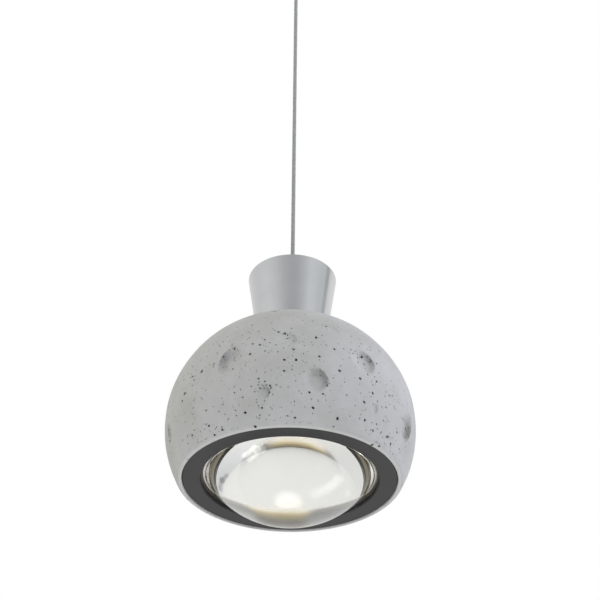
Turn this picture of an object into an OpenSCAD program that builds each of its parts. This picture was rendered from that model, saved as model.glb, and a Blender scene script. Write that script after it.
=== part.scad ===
// Concrete globe pendant light.
// A cratered cast-concrete globe hangs on a thin braided cord under a round ceiling cup.
// An aluminium neck caps the globe, and a thick glass lens looks down through a screwed trim ring.
// The origin is at the ceiling, midway between the two fixing slots, and the light hangs along -Z.

/* [Ceiling plate and cup] */
// Outer radius of the ceiling cup
cup_r = 50; // [49:0.5:58]
// Depth of the ceiling cup
cup_h = 32; // [31:0.5:44]
// Wall of the ceiling cup
cup_wall = 1.2; // [0.8:0.1:1.8]
// Rounding of the cup's lower edge
cup_edge_r = 6; // [3:0.5:9]
// Thickness of the ceiling plate
plate_t = 1.5; // [1:0.1:2.5]
// Distance between the two fixing slots
slot_pitch = 60; // [54:1:64]
// Length of a fixing slot
slot_l = 11; // [7:0.5:13]
// Width of a fixing slot
slot_w = 4.6; // [3.6:0.1:5.6]
// Radius of the cable way through the grommet
entry_r = 5; // [3.5:0.25:6]
// Radius of the two screws at the cup's sides
side_screw_r = 1.95; // [1.5:0.05:2.4]

/* [Driver and terminals] */
// Length of the driver's case
driver_l = 50; // [44:1:56]
// Width of the driver's case
driver_w = 20; // [16:0.5:22]
// Height of the driver's case
driver_h = 18; // [14:0.5:21]
// Gap between the driver's corners and the cup
driver_gap = 2.5; // [1.5:0.25:4]
// Pitch of the three terminal poles
pole_pitch = 10; // [8.5:0.25:11]
// Height of the terminal block
block_h = 15; // [12:0.5:17]

/* [Swivel and cord] */
// Radius of the ball that holds the cord in its bush
ball_r = 5; // [4.5:0.1:5.5]
// Radius of the bush's lip under the ball
seat_r = 4.1; // [3.9:0.05:4.3]
// Slope of the bush's mouth, from the vertical
mouth_angle = 32; // [29:1:38]
// Outer radius of the bush's threaded shank
shank_r = 7; // [6.6:0.1:8]
// Outer radius of the bush's collar
collar_r = 10.5; // [10:0.1:12]
// Radius of the sleeve under the ball
sleeve_r = 2; // [1.7:0.05:2.1]
// Length of the sleeve under the ball
sleeve_l = 14; // [10:1:24]
// Diameter of the braided cord
cord_d = 2.7; // [2:0.1:2.9]

/* [Neck] */
// Radius of the neck's foot on the globe
neck_foot_r = 22; // [17:0.5:24]
// Radius of the neck's top
neck_top_r = 28.6; // [22:0.1:34]
// Height of the neck
neck_h = 44.4; // [30:0.2:60]
// Wall of the neck
neck_wall = 1.6; // [1.2:0.1:3]
// Radius of the cord grip on the neck
grip_r = 8; // [7:0.25:10]
// Height of the cord grip
grip_h = 15; // [14:0.5:20]
// Radius of the threaded tube
tube_r = 5; // [4.5:0.1:5.5]
// Radius of the threaded tube's bore
tube_bore_r = 3.5; // [2.5:0.1:3.8]

/* [Globe] */
// Largest radius of the globe
globe_r = 75; // [67:0.25:85]
// Height from the globe's middle to its pole
globe_half_h = 71.2; // [64:0.1:80]
// Wall of the cast globe
globe_wall = 9; // [7:0.25:11]
// Depth of the open rim under the globe's middle
rim_drop = 35.3; // [32:0.1:42]
// Rounding of the globe's rim
rim_round = 3.8; // [3:0.1:4.4]
// Thickness of the concrete lip round the trim ring
rim_lip = 3.9; // [2.5:0.1:5]
// Depth of the deepest craters as a share of their width
crater_depth = 0.17; // [0.08:0.01:0.2]

/* [Light engine] */
// Radius of the heat sink
sink_r = 44; // [40:0.5:48]
// Height of the fins
fin_h = 27; // [15:1:32]
// Number of fins
fin_count = 20; // [12:2:24]
// Thickness of a fin
fin_t = 1.8; // [1.2:0.1:2.2]
// Radius of the round circuit board
board_r = 15; // [12:0.5:16]
// Radius of the light-giving disc
emitter_r = 9; // [6:0.5:9.5]
// Outer radius of the board's holder
holder_r = 22; // [20:0.25:24]
// Wall of the lens barrel
barrel_wall = 3; // [2.5:0.1:3.5]

/* [Lens and trim ring] */
// Height of the lens's dome under its flange
dome_h = 25.5; // [18:0.1:32]
// Gap between the dome's foot and the ring's opening
dome_gap = 2.5; // [1:0.1:4]
// Thickness of the lens flange
lens_flange_t = 5.8; // [3:0.1:7]
// Gap between the flange's edge and the barrel's outer face
lens_inset = 1.6; // [1.2:0.1:2.4]
// Width of the trim ring's face
ring_w = 10.8; // [9:0.1:13]
// Width of the ring's seat on the globe
ring_seat_w = 3.2; // [2.5:0.1:4]
// Wall of the ring's threaded skirt
skirt_t = 2.6; // [2:0.1:3.5]
// Thickness of the trim ring's face
ring_t = 2.75; // [2:0.05:3.2]
// Depth of the ring's face inside the globe's rim
ring_recess = 0.7; // [0.5:0.1:3]
// Pitch of the trim ring's thread
thread_pitch = 1.5; // [1:0.25:2]
// Turns of the trim ring's thread
thread_turns = 4; // [3:1:5]

/* [Fits] */
// Gap at parts that turn in each other
run_gap = 0.05; // [0.02:0.01:0.08]
// Gap round parts that are dropped in
loose_gap = 0.3; // [0.2:0.05:0.6]

/* [Hidden] */
$fn = 96;
eps = 0.01;

// Route of the cord below the swivel's centre. Its last 35 mm are inside the neck and the tube.
CORD_ROUTE = [
    [0, 0, -5.3], [0, 0, -15], [0, 0, -25], [0, 0, -50], [0, 0, -75], [0, 0, -100], [0, 0, -125],
    [0, 0, -150], [0, 0, -175], [0, 0, -200], [0, 0, -225], [0, 0, -250], [0, 0, -275],
    [0, 0, -300], [0, 0, -325], [0, 0, -350], [0, 0, -375]
];
cord_tail = 35;
cord_sides = 8;

// Craters on the front of the globe: longitude from the front, slope of the surface, width and
// how deep each is beside the deepest.
FRONT_CRATERS = [
    [-27, 5, 16.5, 1], [-3, 13, 13, 0.4], [11, -9, 15.5, 1], [33, 7, 17, 0.75], [65, -12, 16.5, 0.9],
    [-12, -15, 9, 0.95], [40, -15, 6, 0.9], [-72, -12, 11, 0.7], [20, 24, 7.5, 0.45]
];
// Craters round the back: even steps of longitude, with slopes and widths that repeat.
back_craters = 13;
BACK_SLOPES = [33, -13, 11, 42, -3, 22, -15];
BACK_WIDTHS = [16, 10, 13];
back_share = 0.9;

// Ceiling side
cup_inner_r = cup_r - cup_wall;
cup_rim_gap = 0.3;
plate_r = cup_inner_r - 1;
tab_w = 12;
tab_h = 14;
tab_x = plate_r - 0.1;
side_screw_z = -9;
grommet_lip = 2;
grommet_wall = 2.5;
driver_y = sqrt(pow(cup_inner_r - driver_gap, 2) - pow(driver_l / 2, 2)) - driver_w;
ear_l = 6;
ear_w = 8;
ear_t = 2;
driver_screw_r = 1.5;
driver_screw_y = driver_y + driver_w / 2;
driver_screw_x = driver_l / 2 + ear_l / 2;
block_w = 14;
block_y = -17;
pole_gap = 1.5;
well_r = 2.2;
well_y = 3.5;
well_h = block_h * 0.38;
wire_z = -plate_t - block_h * 0.62;
wire_way_r = 1.6;
wire_r = 0.7;
head_ratio = 1.85;

// Swivel, whose centre lies just under the cup's base
pivot_z = -cup_h - 1;
seat_depth = sqrt(pow(ball_r + run_gap, 2) - pow(seat_r, 2));
collar_h = 9;
shank_h = 8;
nut_t = 4;
neck_top_z = pivot_z + CORD_ROUTE[len(CORD_ROUTE) - 1].z + cord_tail;

// Globe: a side arc and a cap arc that meet without a corner where the surface slopes by arc_slope
arc_slope = 56;
arc_step = (globe_r - globe_half_h) / (cos(arc_slope) + sin(arc_slope) - 1);
side_arc_x = arc_step * cos(arc_slope);
side_arc_r = globe_r - side_arc_x;
cap_arc_r = side_arc_r + arc_step;
cap_arc_z = globe_half_h - cap_arc_r;
neck_seat_z = cap_arc_z + sqrt(pow(cap_arc_r, 2) - pow(neck_foot_r, 2));
globe_z = neck_top_z - neck_h - neck_seat_z;
rim_x = side_arc_x + sqrt(pow(side_arc_r - rim_round, 2) - pow(rim_drop - rim_round, 2));
rim_z = rim_round - rim_drop;

// Neck, and the tube that clamps it to the globe
neck_top_t = 3;
neck_edge = 0.7;
grip_socket_h = 8;
grip_screw_r = 1.5;
washer_r = 12;
washer_t = 1.5;
globe_nut_t = 5;
boss_r = washer_r + 2;
boss_z = neck_seat_z - globe_wall;
tube_low_z = 20;
tube_high_z = neck_seat_z + neck_h + grip_socket_h - 0.5;

// Light engine: the heat sink's underside lies at the globe's middle
sink_base_t = 5;
sink_boss_r = 12;
sink_boss_h = 44;
wire_hole_r = 2;
wire_hole_x = -17.5;
wire_window_z = sink_base_t + 3;
wire_window_h = 12;
channel_w = 10;
channel_end = 4.5;
board_t = 1.6;
emitter_t = 1;
holder_h = 6;
holder_pocket_r = board_r + 0.2;
holder_screw_y = (holder_pocket_r + holder_r) / 2;
holder_screw_r = 1.2;
barrel_top_t = 3;
barrel_hole_r = holder_r + 2;
barrel_screw_at = 36;
barrel_screw_r = 1.95;
barrel_ledge = 2.5;
reflector_t = 1.2;

// Trim ring, from the globe's lip inwards
ring_r = rim_x + rim_round - rim_lip - loose_gap;
ring_open_r = ring_r - ring_w;
skirt_r = ring_r - ring_seat_w;
globe_open_r = skirt_r + 2 * loose_gap;
barrel_r = skirt_r - skirt_t;
lens_r = barrel_r - lens_inset;
dome_foot_r = ring_open_r - dome_gap;

// Lens stack, from the ring's face up
ring_seat_z = ring_recess + ring_t - rim_drop;
lens_back_z = ring_seat_z + lens_flange_t;
gasket_t = 1;
gasket_w = 5.9;
barrel_low_z = lens_back_z + gasket_t;
skirt_top_z = barrel_low_z + thread_pitch * thread_turns;
dome_r = (pow(dome_foot_r, 2) + pow(dome_h, 2)) / (2 * dome_h);

// ---- shared shapes ----

function steps(path, step) = [
    for (i = [0:len(path) - 2])
        let (n = max(1, ceil(norm(path[i + 1] - path[i]) / step)))
            for (k = [0:n - 1]) path[i] + (path[i + 1] - path[i]) * k / n,
    path[len(path) - 1]
];

function unit(v) = v / norm(v);

// Direction of a path at one of its points
function heading(path, i) = unit(path[min(i + 1, len(path) - 1)] - path[max(i - 1, 0)]);

// A tube swept along a path, with a ring of corners at each point
module sweep(path, r, sides = 8) {
    last = len(path) - 1;
    side_hint = [0.31, 0.94, 0.12];
    points = [
        for (i = [0:last])
            let (t = heading(path, i), u = unit(cross(t, side_hint)), v = cross(t, u))
                for (k = [0:sides - 1])
                    path[i] + r * (u * cos(360 * k / sides) + v * sin(360 * k / sides))
    ];
    walls = [
        for (i = [0:last - 1])
            for (k = [0:sides - 1])
                let (a = i * sides + k, b = i * sides + (k + 1) % sides)
                    each [[a, a + sides, b + sides], [a, b + sides, b]]
    ];
    low_end = [for (k = [0:sides - 1]) k];
    high_end = [for (k = [sides - 1:-1:0]) last * sides + k];
    polyhedron(points, concat(walls, [low_end, high_end]), convexity = 4);
}

module rounded_rect(l, w, r) {
    square([l - 2 * r, w], center = true);
    square([l, w - 2 * r], center = true);
    for (x = [-1, 1])
        for (y = [-1, 1])
            translate([x * (l / 2 - r), y * (w / 2 - r)]) circle(r);
}

// A cup's filled half section, open side at z = 0
module cup_section(r, h, edge) {
    translate([0, -h]) square([r - edge, h]);
    translate([0, edge - h]) square([r, h - edge]);
    translate([r - edge, edge - h]) circle(edge);
}

// A slotted screw whose head stands below z = 0 and whose shank runs up
module screw(r, length, head_r, head_h) {
    difference() {
        rotate_extrude()
            polygon([
                [0, -head_h], [head_r * 0.8, -head_h], [head_r, -head_h * 0.6], [head_r, 0],
                [r, 0], [r, length], [0, length]
            ]);
        translate([0, 0, -head_h]) cube([head_r * 2.2, head_r * 0.3, head_h * 0.7], center = true);
    }
}

module hex_nut(flats, bore_r, t) {
    difference() {
        intersection() {
            cylinder(d = flats / cos(30), h = t, $fn = 6);
            translate([0, 0, -t])
                cylinder(r1 = flats / 2 + 1.4 * t, r2 = flats / 2, h = 2 * t + flats * 0.04);
        }
        translate([0, 0, -1]) cylinder(r = bore_r, h = t + 2);
    }
}

module at_globe() {
    translate([0, 0, globe_z]) children();
}

module both_sides() {
    for (side = [0, 180])
        rotate([0, 0, side]) children();
}

// ---- ceiling plate and cup ----

module ceiling_plate() {
    color("lightsteelblue")
        difference() {
            union() {
                translate([0, 0, -plate_t]) cylinder(r = plate_r, h = plate_t);
                both_sides()
                    translate([tab_x - plate_t, -tab_w / 2, -tab_h]) cube([plate_t, tab_w, tab_h]);
            }
            both_sides() {
                translate([slot_pitch / 2, 0, -plate_t - 1])
                    linear_extrude(plate_t + 2) {
                        square([slot_l - slot_w, slot_w], center = true);
                        for (x = [-1, 1])
                            translate([x * (slot_l - slot_w) / 2, 0]) circle(slot_w / 2);
                    }
                translate([0, 0, side_screw_z])
                    rotate([0, 90, 0]) cylinder(r = side_screw_r + run_gap, h = cup_r);
                translate([driver_screw_x, driver_screw_y, -plate_t - 1])
                    cylinder(r = driver_screw_r + run_gap, h = plate_t + 2);
                translate([-driver_screw_x, driver_screw_y, -plate_t - 1])
                    cylinder(r = driver_screw_r + run_gap, h = plate_t + 2);
            }
            translate([0, 0, -plate_t - 1]) cylinder(r = entry_r + grommet_wall, h = plate_t + 2);
        }
}

module entry_grommet() {
    color("dimgray")
        difference() {
            union() {
                translate([0, 0, -plate_t]) cylinder(r = entry_r + grommet_wall, h = plate_t);
                translate([0, 0, -plate_t - grommet_lip])
                    cylinder(r1 = entry_r + 1.5, r2 = entry_r + grommet_wall + 2, h = grommet_lip);
            }
            translate([0, 0, -plate_t - grommet_lip - 1])
                cylinder(r = entry_r, h = plate_t + grommet_lip + 2);
        }
}

module canopy_cup() {
    color("silver")
        difference() {
            translate([0, 0, -cup_rim_gap])
                rotate_extrude()
                    intersection() {
                        difference() {
                            cup_section(cup_r, cup_h - cup_rim_gap, cup_edge_r);
                            translate([0, eps])
                                cup_section(
                                    cup_inner_r, cup_h - cup_rim_gap - cup_wall + eps, cup_edge_r - cup_wall
                                );
                        }
                        translate([0, -cup_h]) square([cup_r, cup_h]);
                    }
            translate([0, 0, -cup_h - 1]) cylinder(r = shank_r + run_gap, h = cup_wall + 2);
            both_sides()
                translate([0, 0, side_screw_z])
                    rotate([0, 90, 0]) cylinder(r = side_screw_r + 0.15, h = cup_r + 1);
        }
}

module canopy_screws() {
    color("gainsboro")
        both_sides()
            translate([cup_r, 0, side_screw_z])
                rotate([0, -90, 0])
                    screw(side_screw_r, cup_r - tab_x + plate_t + 2, side_screw_r * head_ratio, 2.4);
}

// ---- driver and terminals ----

module led_driver() {
    edge = 2;
    color("whitesmoke")
        translate([0, driver_screw_y, -plate_t])
            difference() {
                union() {
                    translate([0, 0, edge - driver_h])
                        linear_extrude(driver_h - edge) rounded_rect(driver_l, driver_w, edge);
                    translate([0, 0, -driver_h])
                        linear_extrude(edge + eps) rounded_rect(driver_l - edge, driver_w - edge, edge);
                    translate([0, 0, -ear_t])
                        linear_extrude(ear_t) rounded_rect(driver_l + 2 * ear_l, ear_w, ear_w * 0.4);
                }
                for (x = [-driver_screw_x, driver_screw_x])
                    translate([x, 0, -ear_t - 1]) cylinder(r = driver_screw_r + run_gap, h = ear_t + 2);
            }
}

module driver_screws() {
    color("gainsboro")
        for (x = [-driver_screw_x, driver_screw_x])
            translate([x, driver_screw_y, -plate_t - ear_t])
                screw(
                    driver_screw_r, ear_t + plate_t - 0.1,
                    driver_screw_r * head_ratio, driver_screw_r * 1.2
                );
}

module each_pole() {
    for (i = [-1, 0, 1])
        translate([i * pole_pitch, block_y - block_w / 2, -plate_t]) children();
}

module terminal_block() {
    color("ivory")
        difference() {
            union() {
                each_pole()
                    translate([0, 0, -block_h / 2])
                        cube([pole_pitch - pole_gap, block_w, block_h], center = true);
                translate([0, block_y - block_w / 2, -plate_t - block_h / 4])
                    cube([pole_pitch * 2, block_w * 0.65, block_h / 2], center = true);
            }
            each_pole() {
                translate([0, 0, plate_t + wire_z])
                    rotate([90, 0, 0]) cylinder(r = wire_way_r, h = block_w + 2, center = true);
                for (y = [-well_y, well_y])
                    translate([0, y, -block_h - 1]) cylinder(r = well_r, h = well_h);
            }
        }
}

module terminal_screws() {
    color("gold")
        each_pole()
            for (y = [-well_y, well_y])
                translate([0, y, -block_h + 1])
                    difference() {
                        cylinder(r = well_r - run_gap, h = well_h - 2);
                        cube([well_r * 2.2, well_r * 0.3, 1.4], center = true);
                    }
}

// Two wires from the outer terminals to the driver's side
module supply_leads() {
    color("saddlebrown")
        for (side = [-1, 1]) {
            x = side * pole_pitch;
            sweep(
                [
                    [x, block_y - 3, wire_z], [x, block_y + 3, wire_z], [x + side * 3, -10, wire_z - 1],
                    [x + side * 6, -3, wire_z - 2], [x + side * 6, 4, wire_z - 2],
                    [x + side * 4, driver_y - 7, wire_z - 1], [x + side * 3, driver_y - 3, wire_z - 1],
                    [x + side * 3, driver_y, wire_z - 1]
                ],
                wire_r
            );
        }
}

// Two wires from the driver down to the ball on the cord
module lamp_leads() {
    low_z = pivot_z + ball_r + loose_gap;
    color("firebrick")
        for (side = [-1, 1])
            sweep(
                [
                    [side * 5, driver_y, low_z + 11.5], [side * 5, driver_y - 3, low_z + 11.5],
                    [side * 4.2, 11, low_z + 11], [side * 3.2, 6, low_z + 9.5],
                    [side * 2, 2.5, low_z + 7.5], [side * 1.3, 0.6, low_z + 4.5],
                    [side * 1.1, 0, low_z + 2], [side * 1.1, 0, low_z]
                ],
                wire_r
            );
}

// ---- swivel and cord ----

module swivel_bush() {
    color("silver")
        translate([0, 0, pivot_z])
            difference() {
                translate([0, 0, -cup_h - pivot_z]) {
                    cylinder(r = shank_r, h = shank_h);
                    translate([0, 0, -collar_h * 0.6]) cylinder(r = collar_r, h = collar_h * 0.6);
                    translate([0, 0, -collar_h])
                        cylinder(r1 = collar_r - 1.6, r2 = collar_r, h = collar_h * 0.4);
                }
                sphere(r = ball_r + run_gap);
                cylinder(r = ball_r + run_gap, h = shank_h + 2);
                translate([0, 0, -seat_depth - collar_h])
                    cylinder(r1 = seat_r + collar_h * tan(mouth_angle), r2 = seat_r, h = collar_h);
            }
}

module bush_nut() {
    color("gainsboro")
        translate([0, 0, cup_wall - cup_h]) hex_nut(shank_r * 2 + 6, shank_r + run_gap, nut_t);
}

module stop_ball() {
    color("gainsboro") translate([0, 0, pivot_z]) sphere(r = ball_r);
}

module stop_sleeve() {
    color("silver")
        translate([0, 0, pivot_z + CORD_ROUTE[0].z])
            difference() {
                union() {
                    translate([0, 0, -sleeve_l * 0.7]) cylinder(r = sleeve_r, h = sleeve_l * 0.7);
                    translate([0, 0, -sleeve_l])
                        cylinder(r1 = cord_d / 2 + 0.3, r2 = sleeve_r, h = sleeve_l * 0.3);
                }
                translate([0, 0, -sleeve_l - 1]) cylinder(r = cord_d / 2 + run_gap, h = sleeve_l + 2);
            }
}

module cord() {
    color("darkgray")
        translate([0, 0, pivot_z]) sweep(steps(CORD_ROUTE, 2.6 * cord_d), cord_d / 2, cord_sides);
}

// ---- neck ----

module cord_grip() {
    color("silver")
        translate([0, 0, neck_top_z])
            difference() {
                union() {
                    cylinder(r = grip_r, h = grip_h - 2);
                    translate([0, 0, grip_h - 2]) cylinder(r1 = grip_r, r2 = grip_r - 2, h = 2);
                }
                translate([0, 0, -1]) cylinder(r = tube_r + run_gap, h = grip_socket_h + 1);
                cylinder(r = cord_d / 2 + run_gap, h = grip_h + 1);
                translate([0, 0, (grip_socket_h + grip_h - 2) / 2])
                    rotate([0, 90, 0]) cylinder(r = grip_screw_r + run_gap, h = grip_r + 1);
            }
}

module grip_screw() {
    color("dimgray")
        translate([cord_d / 2 + 2 * run_gap, 0, neck_top_z + (grip_socket_h + grip_h - 2) / 2])
            rotate([0, 90, 0])
                difference() {
                    cylinder(r = grip_screw_r, h = grip_r - cord_d / 2 - 0.5);
                    translate([0, 0, grip_r - cord_d / 2 - 2]) cylinder(r = 0.8, h = 3, $fn = 6);
                }
}

module neck_cone() {
    slope = (neck_top_r - neck_foot_r) / neck_h;
    inner_top_z = neck_h - neck_top_t;
    color("lightgray")
        translate([0, 0, neck_top_z - neck_h])
            rotate_extrude()
                polygon([
                    [neck_foot_r - neck_wall, 0],
                    [neck_foot_r, 0],
                    [neck_top_r - slope * neck_edge, neck_h - neck_edge],
                    [neck_top_r - neck_edge, neck_h],
                    [tube_r + run_gap, neck_h],
                    [tube_r + run_gap, inner_top_z],
                    [neck_foot_r + slope * inner_top_z - neck_wall, inner_top_z]
                ]);
}

module threaded_tube() {
    color("goldenrod")
        at_globe()
            translate([0, 0, tube_low_z])
                difference() {
                    cylinder(r = tube_r, h = tube_high_z - tube_low_z);
                    translate([0, 0, -1]) cylinder(r = tube_bore_r, h = tube_high_z - tube_low_z + 2);
                }
}

// ---- globe ----

// The globe's half outline, or one that lies inside it by inset
module globe_outline(inset = 0) {
    join_x = side_arc_x + cos(arc_slope) * (side_arc_r - inset);
    for (half = [0, 1])
        mirror([0, half])
            intersection() {
                translate([0, cap_arc_z]) circle(cap_arc_r - inset);
                translate([0, -eps]) square([join_x, 2 * globe_half_h]);
            }
    intersection() {
        translate([side_arc_x, 0]) circle(side_arc_r - inset);
        translate([join_x - eps, -globe_half_h]) square([globe_r, 2 * globe_half_h]);
    }
}

// What the rounding takes off the globe's lower corner
module rim_corner() {
    away = [rim_x - side_arc_x, rim_z] / (side_arc_r - rim_round);
    far = 3 * rim_round;
    difference() {
        polygon([
            [rim_x, rim_z], [rim_x, rim_z] + far * away, [rim_x + far, rim_z - far], [rim_x, rim_z - far]
        ]);
        translate([rim_x, rim_z]) circle(rim_round);
    }
}

module globe_section() {
    far = globe_r + globe_half_h;
    difference() {
        globe_outline();
        difference() {
            globe_outline(globe_wall);
            translate([0, boss_z]) square([boss_r, far]);
        }
        translate([0, neck_seat_z]) square([far, far]);
        translate([0, -rim_drop - far]) square([far, far]);
        translate([0, -rim_drop / 2 - far]) square([globe_open_r, far]);
        translate([0, ring_seat_z - far]) square([ring_r + loose_gap, far]);
        square([tube_r + loose_gap, far]);
        rim_corner();
    }
}

// A ball that leaves a shallow round dent in the globe's side
module crater(longitude, slope, width, share) {
    depth = crater_depth * share * width;
    cutter_r = (width * width / 4 + depth * depth) / (2 * depth);
    rotate([0, 0, longitude - 90])
        translate([side_arc_x, 0, 0])
            rotate([0, -slope, 0]) translate([side_arc_r - depth + cutter_r, 0, 0]) sphere(r = cutter_r);
}

module concrete_globe() {
    color("darkgray")
        at_globe()
            difference() {
                rotate_extrude() globe_section();
                for (c = FRONT_CRATERS)
                    crater(c.x, c.y, c.z, c[3]);
                for (i = [0:back_craters - 1])
                    crater(
                        100 + i * 160 / (back_craters - 1),
                        BACK_SLOPES[i % len(BACK_SLOPES)],
                        BACK_WIDTHS[i % len(BACK_WIDTHS)],
                        back_share
                    );
            }
}

module globe_washer() {
    color("gainsboro")
        at_globe()
            translate([0, 0, boss_z - washer_t])
                difference() {
                    cylinder(r = washer_r, h = washer_t);
                    translate([0, 0, -1]) cylinder(r = tube_r + run_gap, h = washer_t + 2);
                }
}

module globe_nut() {
    color("goldenrod")
        at_globe()
            translate([0, 0, boss_z - washer_t - globe_nut_t])
                hex_nut(tube_r * 2 + 7, tube_r + run_gap, globe_nut_t);
}

// ---- light engine ----

module each_barrel_screw() {
    for (i = [0:2])
        rotate([0, 0, 90 + 120 * i]) translate([barrel_screw_at, 0, 0]) children();
}

module heat_sink() {
    color("silver")
        at_globe()
            difference() {
                union() {
                    cylinder(r = sink_r, h = sink_base_t);
                    cylinder(r = sink_boss_r, h = sink_boss_h);
                    intersection() {
                        for (i = [0:fin_count - 1])
                            rotate([0, 0, (i + 0.5) * 360 / fin_count])
                                translate([sink_boss_r - 1, -fin_t / 2, sink_base_t - eps])
                                    cube([sink_r, fin_t, fin_h]);
                        cylinder(r1 = sink_r + 2, r2 = sink_r - 4, h = sink_base_t + fin_h);
                        cylinder(r = sink_r - 1, h = sink_base_t + fin_h);
                    }
                }
                translate([0, 0, tube_low_z]) cylinder(r = tube_r + run_gap, h = sink_boss_h);
                translate([0, 0, wire_window_z]) cylinder(r = tube_bore_r, h = sink_boss_h);
                translate([-sink_boss_r - 1, -tube_bore_r, wire_window_z])
                    cube([sink_boss_r + 1, 2 * tube_bore_r, wire_window_h]);
                translate([wire_hole_x - channel_end, -channel_w / 2, sink_base_t])
                    cube([channel_end - wire_hole_x - sink_boss_r, channel_w, fin_h + 1]);
                translate([wire_hole_x, 0, -1]) cylinder(r = wire_hole_r, h = sink_base_t + 2);
                for (y = [-holder_screw_y, holder_screw_y])
                    translate([0, y, -1]) cylinder(r = holder_screw_r + run_gap, h = sink_base_t);
                each_barrel_screw()
                    translate([0, 0, -1]) cylinder(r = barrel_screw_r + run_gap, h = sink_base_t);
            }
}

module led_board() {
    color("white") at_globe() translate([0, 0, -board_t]) cylinder(r = board_r, h = board_t);
}

module led_emitter() {
    color("khaki")
        at_globe() translate([0, 0, -board_t - emitter_t]) cylinder(r = emitter_r, h = emitter_t);
}

module led_holder() {
    color("whitesmoke")
        at_globe()
            translate([0, 0, -holder_h])
                difference() {
                    cylinder(r = holder_r, h = holder_h);
                    translate([0, 0, holder_h - board_t]) cylinder(r = holder_pocket_r, h = board_t + 1);
                    translate([0, 0, -eps])
                        cylinder(r1 = emitter_r + 4, r2 = emitter_r + 0.5, h = holder_h - board_t + 2 * eps);
                    for (y = [-holder_screw_y, holder_screw_y])
                        translate([0, y, -1]) cylinder(r = holder_screw_r + run_gap, h = holder_h + 2);
                    for (y = [-holder_screw_y, holder_screw_y])
                        translate([0, y, -1]) cylinder(r = holder_screw_r + 1.2, h = 3);
                }
}

module holder_screws() {
    color("gainsboro")
        at_globe()
            for (y = [-holder_screw_y, holder_screw_y])
                translate([0, y, 2 - holder_h])
                    screw(holder_screw_r, holder_h + 1.8, holder_screw_r * head_ratio, 1.6);
}

// Two wires from the tube's lower end, out of the boss and down to the board's holder
module led_leads() {
    color("firebrick")
        at_globe()
            for (side = [-1, 1])
                sweep(
                    [
                        [0, side, tube_low_z + 14], [0, side, tube_low_z + 2],
                        [-1, side, wire_window_z + 8.5], [-5, side, wire_window_z + 5],
                        [-11, side, wire_window_z + 4],
                        [wire_hole_x + 2, side, sink_base_t + 5.5], [wire_hole_x, side, sink_base_t + 1.5],
                        [wire_hole_x, side, loose_gap]
                    ],
                    wire_r
                );
}

module lens_barrel() {
    step_r = barrel_r - barrel_wall;
    color("silver")
        at_globe()
            difference() {
                translate([0, 0, barrel_low_z]) cylinder(r = barrel_r, h = -barrel_low_z);
                translate([0, 0, barrel_low_z - 1]) cylinder(r = step_r, h = 1 + reflector_t);
                translate([0, 0, barrel_low_z])
                    cylinder(r = step_r - barrel_ledge, h = -barrel_low_z - barrel_top_t);
                translate([0, 0, -barrel_top_t - 1]) cylinder(r = barrel_hole_r, h = barrel_top_t + 2);
                each_barrel_screw()
                    translate([0, 0, -barrel_top_t - 1])
                        cylinder(r = barrel_screw_r + run_gap, h = barrel_top_t + 2);
            }
}

module barrel_screws() {
    color("gainsboro")
        at_globe()
            each_barrel_screw()
                translate([0, 0, -barrel_top_t])
                    screw(barrel_screw_r, barrel_top_t + sink_base_t - 1.2, barrel_screw_r * head_ratio, 2.6);
}

// The reflector's inner height at a radius: a bowl that flattens towards the lens
function bowl_z(share) = -holder_h - (-holder_h - barrel_low_z - reflector_t) * pow(share, 1.6);

module reflector() {
    low_r = barrel_r - barrel_wall - barrel_ledge - reflector_t - loose_gap;
    high_r = emitter_r + 5;
    rim_r = barrel_r - barrel_wall - loose_gap;
    rise = 14;
    inner = [for (i = [0:rise]) [high_r + (low_r - high_r) * i / rise, bowl_z(i / rise)]];
    outer = [
        for (i = [rise:-1:0])
            [inner[i].x + reflector_t * 0.7, min(inner[i].y + reflector_t, -holder_h)]
    ];
    color("white")
        at_globe()
            rotate_extrude()
                polygon(concat(
                    inner,
                    [
                        [low_r, barrel_low_z],
                        [rim_r, barrel_low_z],
                        [rim_r, barrel_low_z + reflector_t],
                        [low_r + reflector_t * 0.7, barrel_low_z + reflector_t]
                    ],
                    outer
                ));
}

// ---- lens and trim ring ----

module lens_gasket() {
    color("dimgray")
        at_globe()
            translate([0, 0, lens_back_z])
                difference() {
                    cylinder(r = barrel_r - 2 * loose_gap, h = gasket_t);
                    translate([0, 0, -1]) cylinder(r = barrel_r - 2 * loose_gap - gasket_w, h = gasket_t + 2);
                }
}

module glass_lens() {
    color("lightcyan")
        at_globe() {
            translate([0, 0, ring_seat_z]) cylinder(r = lens_r, h = lens_flange_t);
            intersection() {
                translate([0, 0, ring_seat_z - dome_h + dome_r]) sphere(r = dome_r);
                translate([0, 0, ring_seat_z - dome_h - 1])
                    cylinder(r = lens_r, h = dome_h + 1 + lens_flange_t / 2);
            }
        }
}

module trim_ring() {
    face_z = ring_seat_z - ring_t;
    edge = 0.4;
    bevel = 0.5;
    color("dimgray")
        at_globe()
            rotate_extrude()
                polygon([
                    [ring_open_r, ring_seat_z],
                    [ring_open_r, face_z + bevel],
                    [ring_open_r + bevel, face_z],
                    [ring_r - edge, face_z],
                    [ring_r, face_z + edge],
                    [ring_r, ring_seat_z],
                    [skirt_r, ring_seat_z],
                    [skirt_r, skirt_top_z],
                    [barrel_r + run_gap, skirt_top_z],
                    [barrel_r + run_gap, ring_seat_z]
                ]);
}

ceiling_plate();
entry_grommet();
canopy_cup();
canopy_screws();
led_driver();
driver_screws();
terminal_block();
terminal_screws();
supply_leads();
lamp_leads();
swivel_bush();
bush_nut();
stop_ball();
stop_sleeve();
cord();
cord_grip();
grip_screw();
neck_cone();
threaded_tube();
concrete_globe();
globe_washer();
globe_nut();
heat_sink();
led_board();
led_emitter();
led_holder();
holder_screws();
led_leads();
lens_barrel();
barrel_screws();
reflector();
lens_gasket();
glass_lens();
trim_ring();
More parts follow.
